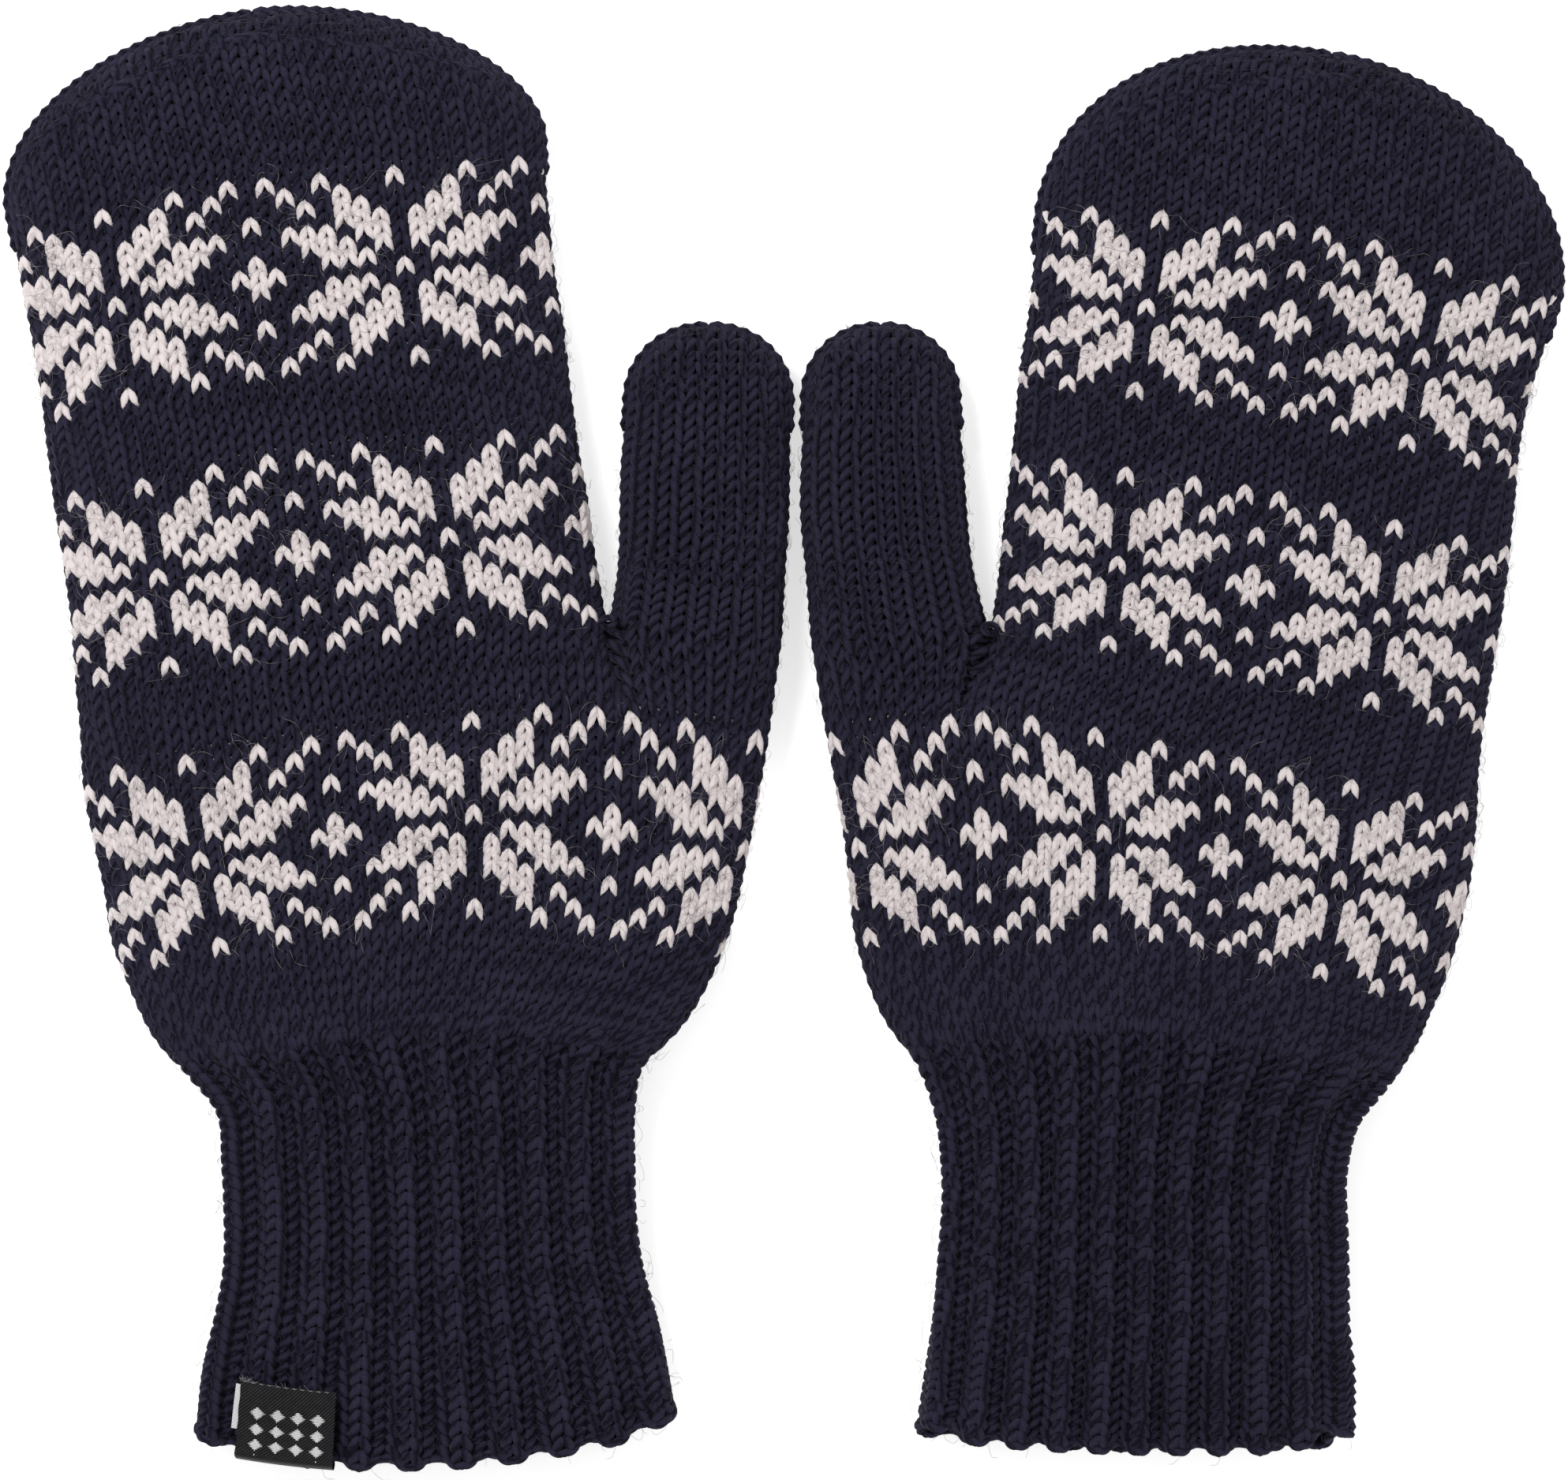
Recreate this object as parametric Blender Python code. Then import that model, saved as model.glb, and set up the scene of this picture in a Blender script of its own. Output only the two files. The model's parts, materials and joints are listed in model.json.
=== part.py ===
"""A pair of knitted mittens lying palm down: fingertips towards +Y, thumbs towards the middle.

Each mitten is a row of flattened fabric tubes (cuff, palm, hand, fingers and thumb) that hinge where
the knitting folds. Inside the tubes lie the floats of the pale yarn of the three star bands.
"""

import math

import bmesh
import bpy
from mathutils import Vector

MM = 0.001

# Fabric, in millimetres.
WALL = 2.6  # one layer of the knitting
FLOATS = 0.8  # the pale yarn's floats, inside the star bands
GAP = 0.4  # between pieces that touch
YARN = 1.8  # a single strand
RIBBON = 0.5  # the label's thickness
THREAD = 0.5  # the label's sewing thread

# Folds, in degrees: each lifts its free end off the table, towards the back of the hand.
WRIST_FOLD = 45
KNUCKLE_FOLD = 60
THUMB_FOLD = 40

# Shape of a flattened tube's cross-section.
BODY_SIDES = 24
THUMB_SIDES = 16
SQUARENESS = 2.5  # exponent of the super-ellipse: 2 is an ellipse
FLATTENED = 1.15  # above 1, the underside is flat where it lies on the table
STEPS = 2  # cross-sections from one outline station to the next

# The rounded tips: share of the tip's height at each cross-section.
TIP_HEIGHTS = (0.4, 0.65, 0.83, 0.94, 0.985)
CAVITY_ENDS_AT = 0.83
OUTER_ROUNDING = 2.0  # the little finger's side is a little rounder than the thumb's side
INNER_ROUNDING = 2.2

# The label: the three of the cuff's facets that it covers, and its two leaves.
LABEL_FACETS = (7, 8, 9)
LABEL_FRONT = 16.0
LABEL_BACK = 10.0

# Outline stations from the hem up: left edge, right edge, thickness and bow, which is how far the
# middle of the row lies ahead of its ends. All in millimetres.
LEFT = {
    "cuff": (
        ((-108.8, -127.5), (-19.5, -122.3), 17, -8.5),
        ((-106.0, -110.4), (-22.5, -107.5), 17, -6),
        ((-103.3, -87.2), (-27.2, -84.3), 17, -2),
        ((-104.1, -69.9), (-27.2, -67.0), 17, 0),
    ),
    "palm": (
        ((-104.1, -69.9), (-27.2, -67.0), 17, 0),
        ((-115.0, -56.8), (-20.8, -55.4), 17.5, 0),
        ((-122.0, -39.4), (-12.0, -39.4), 18, 0),
        ((-127.6, -17.7), (-6.4, -17.7), 18, 0),
        ((-130.5, 1.2), (-2.2, 4.8), 18, 0),
        ((-131.8, 18.8), (0.7, 20.0), 18, 0),
    ),
    "hand": (
        ((-133.1, 33.8), (-34.9, 43.2), 18, 0),
        ((-136.2, 52.3), (-38.0, 66.4), 18, 0),
    ),
    "fingers": (
        ((-136.2, 52.3), (-38.0, 66.4), 18, 0),
        ((-139.2, 74.3), (-40.7, 88.1), 18, 0),
        ((-143.6, 97.5), (-43.6, 112.0), 17, 0),
    ),
    "thumb": (
        ((-31.1, 35.9), (1.1, 35.9), 16, 0),
        ((-30.5, 51.9), (1.5, 51.9), 16, 0),
        ((-29.2, 63.5), (1.4, 62.8), 15, 0),
    ),
    "hand_share": (0, 0.745),
    "thumb_share": (0.769, 1),
    "tip_height": 28.0,
    "thumb_tip_height": 13.8,
}
RIGHT = {
    "cuff": (
        ((25.3, -123.8), (104.4, -126.7), 17, -6),
        ((26.7, -104.6), (104.0, -107.5), 17, -4),
        ((28.3, -81.4), (103.3, -83.6), 17, -2),
        ((27.5, -69.9), (105.6, -72.0), 17, 0),
    ),
    "palm": (
        ((27.5, -69.9), (105.6, -72.0), 17, 0),
        ((20.5, -56.1), (116.2, -56.8), 17.5, 0),
        ((13.3, -40.1), (122.2, -40.1), 18, 0),
        ((10.2, -17.7), (127.6, -17.7), 18, 0),
        ((6.7, 3.3), (129.1, 0.4), 18, 0),
        ((3.7, 20.0), (130.5, 18.6), 18, 0),
    ),
    "hand": (
        ((40.7, 43.2), (132.7, 32.3), 18, 0),
        ((42.1, 60.4), (135.0, 42.8), 18, 0),
    ),
    "fingers": (
        ((42.1, 60.4), (135.0, 42.8), 18, 0),
        ((44.9, 79.4), (138.6, 63.5), 18, 0),
        ((46.7, 99.7), (143.6, 83.8), 17, 0),
    ),
    "thumb": (
        ((3.1, 35.9), (34.4, 35.9), 16, 0),
        ((2.5, 51.9), (33.4, 51.9), 16, 0),
        ((3.3, 63.5), (32.4, 63.5), 15, 0),
    ),
    "hand_share": (0.279, 1),
    "thumb_share": (0, 0.256),
    "tip_height": 35.4,
    "thumb_tip_height": 13.6,
}


class Section:
    """A cross-section of a tube: its two edges, its thickness and how far its middle bows ahead."""

    def __init__(self, left, right, thickness, bow=0.0):
        self.left = Vector((left[0], left[1], 0))
        self.right = Vector((right[0], right[1], 0))
        self.thickness = thickness
        self.bow = bow

    @property
    def across(self):
        return (self.right - self.left).normalized()

    @property
    def ahead(self):
        return Vector((-self.across.y, self.across.x, 0))

    @property
    def centre(self):
        return (self.left + self.right) / 2 + Vector((0, 0, self.thickness / 2))

    def at(self, share):
        """The point this share of the way along the row, at half thickness."""
        return self.left.lerp(self.right, share) + Vector((0, 0, self.thickness / 2))

    def part(self, share):
        """The cross-section that takes up this share, from and to, of this one's width."""
        return Section(self.at(share[0]), self.at(share[1]), self.thickness)

    def moved(self, distance):
        shift = self.ahead * distance
        return Section(self.left + shift, self.right + shift, self.thickness, self.bow)


def between(a, b, c, d, t):
    """Catmull-Rom: the smooth value a share t of the way from b to c."""
    pull = (c - a) * t + (2 * a - 5 * b + 4 * c - d) * t**2 + (3 * b - 3 * c + d - a) * t**3
    return b + pull * 0.5


def smooth(stations):
    """STEPS cross-sections from each station to the next, on a smooth curve through them all."""
    padded = [stations[0], *stations, stations[-1]]
    sections = []
    for i in range(len(stations) - 1):
        four = padded[i : i + 4]
        for step in range(STEPS):
            t = step / STEPS
            sections.append(
                Section(
                    between(*[s.left for s in four], t),
                    between(*[s.right for s in four], t),
                    between(*[s.thickness for s in four], t),
                    between(*[s.bow for s in four], t),
                )
            )
    return [*sections, stations[-1]]


def rounded(value):
    return math.copysign(abs(value) ** (2 / SQUARENESS), value)


def ring_point(section, side, sides, inset, slope=0.0):
    """A point on the tube's skin, inset from its outer surface.

    slope is how far the upper half leans ahead for each unit of its height over the middle.
    """
    turn = 2 * math.pi * side / sides
    x = rounded(math.cos(turn))
    z = max(rounded(math.sin(turn)) * (FLATTENED if turn > math.pi else 1), -1)
    half_width = (section.right - section.left).length / 2 - inset
    rise = (section.thickness / 2 - inset) * z
    lean = slope * max(rise, 0) + section.bow * (1 - x**4)
    return section.centre + section.across * half_width * x + section.ahead * lean + Vector((0, 0, rise))


def tip(base, height, thumb_on_right):
    """Cross-sections of a rounded tip on base, flatter towards its end."""
    sections = []
    for share in TIP_HEIGHTS:
        outer = (1 - share**OUTER_ROUNDING) ** (1 / OUTER_ROUNDING)
        inner = (1 - share**INNER_ROUNDING) ** (1 / INNER_ROUNDING)
        left, right = (outer, inner) if thumb_on_right else (inner, outer)
        middle = (base.left + base.right) / 2 + base.ahead * height * share
        half = (base.right - base.left) / 2
        sections.append(Section(middle - half * left, middle + half * right, base.thickness * outer))
    return sections


def tube_mesh(sections, sides, inset, wall, slopes=(0.0, 0.0), cavity=None):
    """A tube of fabric along the sections: open at both ends, or closed past cavity sections."""
    mesh = bmesh.new()
    last = len(sections) - 1

    def rings(depth, count):
        found = []
        for i, section in enumerate(sections[:count]):
            slope = slopes[0] if i == 0 else slopes[1] if i == last else 0.0
            points = [ring_point(section, side, sides, depth, slope) for side in range(sides)]
            found.append([mesh.verts.new(point) for point in points])
        return found

    def skin(low, high, flip):
        for side in range(sides):
            after = (side + 1) % sides
            corners = [low[side], low[after], high[after], high[side]]
            mesh.faces.new(corners[::-1] if flip else corners)

    outside = rings(inset, len(sections))
    inside = rings(inset + wall, cavity or len(sections))
    for low, high in zip(outside, outside[1:]):
        skin(low, high, True)
    for low, high in zip(inside, inside[1:]):
        skin(low, high, False)
    skin(outside[0], inside[0], False)
    if cavity:
        mesh.faces.new(outside[-1])
        mesh.faces.new(inside[-1])
    else:
        skin(outside[-1], inside[-1], True)
    bmesh.ops.recalc_face_normals(mesh, faces=mesh.faces)
    return mesh


def label_mesh(hem, above):
    """A ribbon folded over the hem's upper layer: its front leaf outside, its back leaf inside."""
    mesh = bmesh.new()
    reach = (above.centre - hem.centre).length

    def point(side, distance, inset):
        low = ring_point(hem, side, BODY_SIDES, inset)
        high = ring_point(above, side, BODY_SIDES, inset)
        return low.lerp(high, distance / reach)

    far = GAP + RIBBON
    profile = (
        (LABEL_FRONT, -GAP),
        (-GAP, -GAP),
        (-GAP, WALL + GAP),
        (LABEL_BACK, WALL + GAP),
        (LABEL_BACK, WALL + far),
        (-far, WALL + far),
        (-far, -far),
        (LABEL_FRONT, -far),
    )
    columns = []
    for side in LABEL_FACETS:
        columns.append([mesh.verts.new(point(side, along, inset)) for along, inset in profile])
    corners = len(profile)
    for one, other in zip(columns, columns[1:]):
        for i in range(corners):
            after = (i + 1) % corners
            mesh.faces.new((one[i], one[after], other[after], other[i]))
    for column in (columns[0], columns[-1]):
        for a, b in ((0, 1), (1, 2), (2, 3)):
            mesh.faces.new((column[a], column[b], column[corners - 1 - b], column[corners - 1 - a]))
    bmesh.ops.recalc_face_normals(mesh, faces=mesh.faces)
    return mesh


def material(name, colour, roughness):
    made = bpy.data.materials.new(name)
    made.diffuse_color = (*colour, 1)
    made.use_nodes = True
    shader = made.node_tree.nodes["Principled BSDF"]
    shader.inputs["Base Color"].default_value = (*colour, 1)
    shader.inputs["Roughness"].default_value = roughness
    return made


def pivot(name, point, parent):
    """An empty on a fold's axis; the pieces that fold there are its children."""
    empty = bpy.data.objects.new(name, None)
    empty.location = (point - PIVOTS[parent]) * MM if parent else point * MM
    empty.parent = bpy.data.objects[parent] if parent else None
    bpy.context.scene.collection.objects.link(empty)
    PIVOTS[name] = point
    return name


def add(name, data, finish, parent):
    piece = bpy.data.objects.new(name, data)
    data.materials.append(finish)
    piece.parent = bpy.data.objects[parent]
    bpy.context.scene.collection.objects.link(piece)


def add_mesh(name, shape, finish, parent):
    """Adds a mesh that was modelled in place, in millimetres, to its pivot."""
    bmesh.ops.translate(shape, verts=shape.verts, vec=-PIVOTS[parent])
    bmesh.ops.scale(shape, verts=shape.verts, vec=(MM, MM, MM))
    data = bpy.data.meshes.new(name)
    shape.to_mesh(data)
    shape.free()
    data.shade_smooth()
    add(name, data, finish, parent)


def add_strand(name, points, thickness, finish, parent):
    """Adds a short strand of yarn or thread along the points."""
    data = bpy.data.curves.new(name, "CURVE")
    data.dimensions = "3D"
    data.bevel_depth = thickness / 2 * MM
    data.bevel_resolution = 1
    data.use_fill_caps = True
    line = data.splines.new("POLY")
    line.points.add(len(points) - 1)
    for corner, point in zip(line.points, points):
        corner.co = (*((point - PIVOTS[parent]) * MM), 1)
    add(name, data, finish, parent)


def arc(section, shares, rise):
    """Points along a section, raised in the middle like a slack strand."""
    points = []
    for share in shares:
        height = rise * (1 - (2 * (share - shares[0]) / (shares[-1] - shares[0]) - 1) ** 2)
        points.append(section.at(share) + section.ahead * height)
    return points


def mitten(side, outline, navy, pale):
    """One mitten's pieces, each in its place on the table."""
    thumb_on_right = side == "left"
    palm = smooth([Section(*station) for station in outline["palm"]])
    cuff = smooth([Section(*station) for station in outline["cuff"]])
    split = palm[-1]
    hand_base = split.part(outline["hand_share"])
    thumb_base = split.part(outline["thumb_share"])
    hand = smooth([hand_base, *[Section(*station) for station in outline["hand"]]])
    fingers = smooth([Section(*station) for station in outline["fingers"]])
    thumb = smooth([thumb_base, *[Section(*station) for station in outline["thumb"]]])
    knuckles = fingers[0]
    wrist = palm[0]

    root = pivot(f"{side}_mitten", split.centre, None)
    wrist_fold = pivot(f"{side}_wrist_fold", wrist.centre, root)
    knuckle_fold = pivot(f"{side}_knuckle_fold", knuckles.centre, root)
    thumb_fold = pivot(f"{side}_thumb_fold", thumb_base.centre, root)

    wrist_slope = math.tan(math.radians(WRIST_FOLD / 2))
    knuckle_slope = math.tan(math.radians(KNUCKLE_FOLD / 2))
    thumb_slope = math.tan(math.radians(THUMB_FOLD))
    half_gap = GAP / 2

    cuff[-1] = wrist.moved(-half_gap)
    shape = tube_mesh(cuff, BODY_SIDES, 0, WALL, (0, -wrist_slope))
    add_mesh(f"{side}_cuff", shape, navy, wrist_fold)

    palm_inner = palm[3:-2]
    palm[0] = wrist.moved(half_gap)
    palm[-1] = split.moved(-half_gap)
    shape = tube_mesh(palm, BODY_SIDES, 0, WALL, (wrist_slope, 0))
    add_mesh(f"{side}_palm", shape, navy, root)
    shape = tube_mesh(palm_inner, BODY_SIDES, WALL + GAP, FLOATS)
    add_mesh(f"{side}_star_band_lower", shape, pale, root)

    hand_inner = hand[:-1]
    hand[0] = hand_base.moved(half_gap)
    hand[-1] = knuckles.moved(-half_gap)
    shape = tube_mesh(hand, BODY_SIDES, 0, WALL, (0, -knuckle_slope))
    add_mesh(f"{side}_hand", shape, navy, root)
    hand_inner[0] = hand[0]
    shape = tube_mesh(hand_inner, BODY_SIDES, WALL + GAP, FLOATS)
    add_mesh(f"{side}_star_band_middle", shape, pale, root)

    fingers_inner = fingers[1:]
    tip_base = fingers[-1]
    fingers[0] = knuckles.moved(half_gap)
    fingertip = tip(tip_base, outline["tip_height"], thumb_on_right)
    cavity = len(fingers) + TIP_HEIGHTS.index(CAVITY_ENDS_AT) + 1
    shape = tube_mesh(fingers + fingertip, BODY_SIDES, 0, WALL, (knuckle_slope, 0), cavity)
    add_mesh(f"{side}_fingers", shape, navy, knuckle_fold)
    shape = tube_mesh(fingers_inner, BODY_SIDES, WALL + GAP, FLOATS)
    add_mesh(f"{side}_star_band_upper", shape, pale, knuckle_fold)

    thumb_end = thumb[-1]
    thumb[0] = thumb_base.moved(half_gap)
    thumb_tip = tip(thumb_end, outline["thumb_tip_height"], thumb_on_right)
    cavity = len(thumb) + TIP_HEIGHTS.index(CAVITY_ENDS_AT)
    shape = tube_mesh(thumb + thumb_tip, THUMB_SIDES, 0, WALL, (thumb_slope, 0), cavity)
    add_mesh(f"{side}_thumb", shape, navy, thumb_fold)

    middle = (0.35, 0.42, 0.5, 0.58, 0.65)
    add_strand(f"{side}_tip_closing_yarn", arc(fingertip[0], middle, 3), YARN, navy, knuckle_fold)
    add_strand(f"{side}_thumb_closing_yarn", arc(thumb_tip[0], middle, 1), YARN, navy, thumb_fold)

    share = outline["hand_share"] if thumb_on_right else outline["thumb_share"]
    other = outline["thumb_share"] if thumb_on_right else outline["hand_share"]
    crotch = split.at((share[1] + other[0]) / 2) + split.ahead * (GAP + YARN / 2)
    reach = Vector((0, 0, split.thickness / 4))
    add_strand(f"{side}_thumb_join_yarn", [crotch - reach, crotch + reach], YARN, navy, root)
    return cuff, wrist_fold


def label(cuff, parent, satin, thread):
    """The woven tab over the left hem, and the thread along the top of its front leaf."""
    hem, above = cuff[0], cuff[2]
    add_mesh("left_woven_label", label_mesh(hem, above), satin, parent)
    share = (LABEL_FRONT - THREAD * 2) / (above.centre - hem.centre).length
    inset = -(2 * GAP + RIBBON + THREAD / 2)
    seam = []
    for side in LABEL_FACETS:
        low = ring_point(hem, side, BODY_SIDES, inset)
        high = ring_point(above, side, BODY_SIDES, inset)
        seam.append(low.lerp(high, share))
    add_strand("left_label_stitching", seam, THREAD, thread, parent)


def centre_on_origin(roots):
    """Moves the whole pair so that its box stands centred on the origin."""
    bpy.context.view_layer.update()
    corners = []
    for piece in bpy.data.objects:
        if piece.type != "EMPTY":
            corners += [piece.matrix_world @ Vector(corner) for corner in piece.bound_box]
    for axis in range(2):
        middle = (max(c[axis] for c in corners) + min(c[axis] for c in corners)) / 2
        for root in roots:
            root.location[axis] -= middle


for old in list(bpy.data.objects):
    bpy.data.objects.remove(old)

PIVOTS = {}
navy_wool = material("navy_wool", (0.014, 0.013, 0.026), 0.9)
pale_wool = material("pale_wool", (0.63, 0.57, 0.575), 0.9)
black_satin = material("black_satin", (0.03, 0.03, 0.034), 0.45)
silver_thread = material("silver_thread", (0.5, 0.5, 0.52), 0.5)

left_cuff, left_wrist = mitten("left", LEFT, navy_wool, pale_wool)
mitten("right", RIGHT, navy_wool, pale_wool)
label(left_cuff, left_wrist, black_satin, silver_thread)
centre_on_origin([bpy.data.objects["left_mitten"], bpy.data.objects["right_mitten"]])
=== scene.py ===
"""The knitted mittens' looks: every course of yarn is modelled, loop by loop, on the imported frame.

Both mittens are built as a left one, with the thumb at positive X, and the right one is mirrored.
Along a row, a place is counted in stitches from the outer edge, over the front and round the back.
Up a mitten, it is counted in rows from the top of the rib; the rib's rows are negative.
"""

import json
import math

import bpy
import numpy as np
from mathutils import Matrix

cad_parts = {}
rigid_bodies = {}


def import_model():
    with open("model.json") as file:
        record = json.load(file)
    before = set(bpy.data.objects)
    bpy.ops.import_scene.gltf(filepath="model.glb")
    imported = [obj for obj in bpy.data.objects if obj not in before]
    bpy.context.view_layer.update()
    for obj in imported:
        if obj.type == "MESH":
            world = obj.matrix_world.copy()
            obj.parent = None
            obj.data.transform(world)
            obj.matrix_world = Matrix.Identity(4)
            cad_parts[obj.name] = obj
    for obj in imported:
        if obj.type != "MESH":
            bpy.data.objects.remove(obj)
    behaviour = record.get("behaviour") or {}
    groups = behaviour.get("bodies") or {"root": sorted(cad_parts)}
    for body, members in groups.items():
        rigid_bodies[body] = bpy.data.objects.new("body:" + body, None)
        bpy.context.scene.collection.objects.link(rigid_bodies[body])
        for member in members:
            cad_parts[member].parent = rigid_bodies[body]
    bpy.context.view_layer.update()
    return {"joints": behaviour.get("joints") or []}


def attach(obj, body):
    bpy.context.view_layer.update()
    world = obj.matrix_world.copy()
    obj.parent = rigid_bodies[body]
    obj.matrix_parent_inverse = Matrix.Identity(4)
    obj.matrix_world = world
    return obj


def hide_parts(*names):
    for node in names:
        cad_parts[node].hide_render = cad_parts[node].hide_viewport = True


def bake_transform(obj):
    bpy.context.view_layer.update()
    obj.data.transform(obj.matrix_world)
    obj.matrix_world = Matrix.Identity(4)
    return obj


for leftover in list(bpy.data.objects):
    bpy.data.objects.remove(leftover)
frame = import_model()
MM = 0.001
TAU = 2 * math.pi

# Where the knitting changes, in rows from the top of the rib.
LOWER_BAND = 6
SPLIT = 27  # where the thumb parts from the hand, and the middle band begins
UPPER_BAND = 48
BAND_ROWS = 15
HEM = -32
THUMB_TOP = 26

STITCH_MM = 3.3
ROW_MM = 2.4

# Stitches around each tube.
BODY_STITCHES = 80
HAND_STITCHES = 64
THUMB_STITCHES = 18
THUMB_FRONT = 8  # the lower tube's front stitches that go on into the thumb
RIB_COLUMNS = 40

# A loop of yarn, in stitches, rows and millimetres.
LOOP_LEAN = 0.26
LOOP_REACH = 0.88
STAR_LOOP_REACH = 0.98
STAR_YARN = 0.69
LOOP_DEPTH = 0.8
LOOP_SWELL = 0.16  # how much thicker the yarn is along a loop's legs than at its ends
FLOAT_DROP = 0.9
FLOAT_SLIM = 0.12  # how much thinner a stretched float is
SEGMENTS = 12
SIDES = 6
YARN = 0.72  # the yarn's radius
YARN_END = 0.3  # how thick a cut end is, to the yarn

# The unevenness of hand knitting: how far, and over how many stitches.
WANDER_ACROSS = 0.035
WANDER_ALONG = 0.05
WANDER_SLOWLY = 0.08
WANDER_SIZES = (1.3, 1.3, 5.0)
WANDER_SEED = 50
BULGE = 0.35  # of the whole fabric, in millimetres
BULGE_SHARE = 0.09  # of the way round a tube
BULGE_ROWS = 0.02  # of the way round, to a row
PRESSED = 0.55  # how far the loops lie flat along a folded edge
PRESSED_SHARPNESS = 8

# The rib.
RIB_TOP = -1  # the first row with knit and purl columns
RIB_RISE = 1.2
RIB_WARP = 0.09
RIB_DEPTH = (0.62, 0.38)  # a loop's depth between the columns, and what the knit columns add to it
RIB_REACH = 0.72
RIB_SWELL = 0.2
RIB_GIRTH = (1.13, 0.03)  # the yarn's thickness, and what the knit columns add to it
RIB_SQUARENESS = 0.7
RIB_UNEVENNESS = 1.4  # in columns
RIB_SIDE = 0.4  # the part of the rise by which the folded edges draw in
RIB_SKIN_ROWS = 4  # over which the tube makes room for the rib
RIB_ROUND_ROWS = 6  # over which the bow turns from a tent into an arch
RIB_FADE = (2, 6)  # the row where the columns end, and over how many rows
HEM_REACH = 0.36  # in rows
HEM_SQUARENESS = 0.6
HEM_ROWS = 3
HEM_CORNER = 1.0  # in rows: how far the hem's ends curve up
HEM_CORNER_SHARPNESS = 40
HEM_CORNER_ROWS = 6
HEM_YARN = 0.75
HEM_YARN_DROP = 0.05
HEM_TWIST = (0.12, 0.45)  # in rows and millimetres

# The flattened tube.
SQUARENESS = 2.5
FLATTENED = 1.15
SKIN = 1.5  # from the middle of the fabric to the outside of its yarn
COLUMNS = 320
HALF_ROUND = 720  # the steps in which half a tube's section is measured
SPARE_ROWS = 2  # that a tube's grid goes on past its stations
LOBE_ROWS = 7  # over which the body divides into the hand and the thumb
PEAK_SOFTNESS = 0.12
TIP_END = 0.997  # the part of a tip's height where its stitches end
TIP_DOME = 2.3
TIP_FLATTEST = 0.12
GROUND_LIFT = -0.35  # of the layer that fills the gaps between loops
GROUND_STEP = 0.5
GROUND_FILL = 0.55
ON_TABLE = 0.02

# The edge stitches of a closed tip.
RIM_TILT = math.radians(42)  # how far they face up
RIM_PITCH = 2.5
RIM_WIDTH = 3.0
RIM_LIFT = (0.3, 0.6)
RIM_RAISED = 0.4
RIM_TURN = 0.92  # the part of a loop that each one shows
RIM_BELOW = {"hand": 3, "thumb": 2}  # rows

# The strand between the thumb and the hand, in millimetres.
JOIN_TURNS = 3.5
JOIN_WIDTH = 1.3
JOIN_DROP = 0.6
JOIN_HEIGHT = 0.9
JOIN_FROM = 3.5
JOIN_RISE = 11.5
JOIN_POINTS = 60
JOIN_GIRTH = 0.8  # to the yarn

# Loose fibres: how thick, and how many in each place.
FIBRE = 0.026
FIBRES = {"lower band": 1300, "palm": 1300, "rib": 1300, "stars": 1900, "hand": 2000, "thumb": 500}
FIBRE_STEPS = 10
FIBRE_LENGTH = (2.0, 7.0)  # in millimetres
FIBRE_CURL = (0.28, 0.22)  # of the whole fibre, and of each step
FIBRE_SCATTER = 0.4
FIBRE_HEIGHT = (0.2, 1.3)
FIBRE_ARCH = (1.6, 3.4)

# The label, in millimetres: its left edge, its top edge's ends, and its length down the front.
LABEL_LEFT = -99.8
LABEL_TOP = (-116.6, -118.8)
LABEL_WIDTH = 17.4
LABEL_FRONT = 16.0
LABEL_TURN = 6.0
LABEL_LENGTH = 30.0
LABEL_HEM = HEM - 0.33
LABEL_LIFT = 3.15
LABEL_PICK = 0.34  # between its silver threads
LABEL_DIP = 0.12  # how far it sinks between the rib's columns
LABEL_WAVER = 0.12
SELVEDGE = (-0.85, 0.3)
SELVEDGE_RUN = (1.0, 10.6)
SELVEDGE_SLANT = 0.02
MOTIF_X = (1.6, 16.2)
MOTIF_Y = (4.2, 15.9)
MOTIF_TOP = 4.5
MOTIF_STEP = 0.2
LOZENGE_CELL = (3.65, 3.6)
LOZENGE = (1.45, 1.4)  # half its width and height
SILVER_WIDE = 0.15
SILVER_THICK = 0.07
SILVER_LIFT = 0.1
SEWING_RUN = (0.2, LABEL_WIDTH - 1)
SEWING_PITCH = 1.5
SEWING_STITCH = 1.05
SEWING_DROP = 0.25
SEWING_LIFT = (0.05, 0.12)  # at a stitch's ends, and what its middle adds
FRAYED_ENDS = 26
FRAYED_AT_CORNER = (0.6, -0.3, 2.4)  # the part of them, and from where to where
FRAYED_SPREAD = 0.8
FRAYED_DROP = (-1.1, 0.3)
FRAYED_GIRTH = 0.35
THREAD_POINTS = 6

# One quarter of a star: stitches and rows from its centre.
STAR = {(0, 0), (0, 7), (4, 7), (5, 5), (6, 6), (7, 7)}
STAR |= {(1, row) for row in (2, 3, 4)}
STAR |= {(2, row) for row in (3, 4, 5)}
STAR |= {(3, row) for row in (4, 5, 6)}
STAR |= {(column, 1) for column in (2, 3, 4)}
STAR |= {(column, 2) for column in (3, 4, 5)}
STAR |= {(column, 3) for column in (4, 5, 6)}
STAR |= {(8, 0), (8, 1), (7, 0), (8, 4)}
STAR_REPEAT = 16
STAR_CENTRE = 7

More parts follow.
